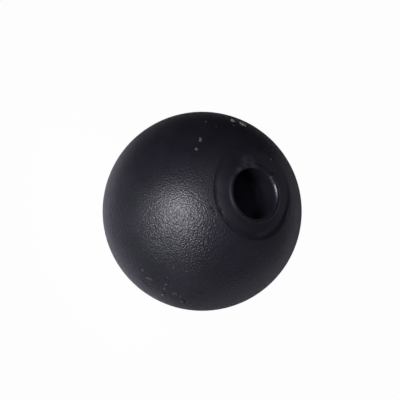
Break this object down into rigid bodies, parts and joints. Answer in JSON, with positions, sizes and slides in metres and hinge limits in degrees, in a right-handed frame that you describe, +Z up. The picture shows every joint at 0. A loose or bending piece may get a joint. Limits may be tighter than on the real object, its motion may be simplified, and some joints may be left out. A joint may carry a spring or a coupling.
{
  "type": "ball knob",
  "caption": "Round black plastic knob with a plain blind bore, a low lip at its mouth and a smooth recessed face round it.",
  "frame": {"origin": "lowest point of the ball, on the bore's axis, opposite the bore's mouth", "axes": "+Z up the bore's axis and out of its mouth; the knob is round about Z, so +X and +Y are free"},
  "size_m": [0.04, 0.04, 0.0389],
  "materials": {
    "moulded_plastic": "fine moulded grain on the ball, smooth satin on the crown and lip round the bore"
  },
  "bodies": {
    "root": {"ball_knob": "moulded_plastic"}
  },
  "joints": []
}
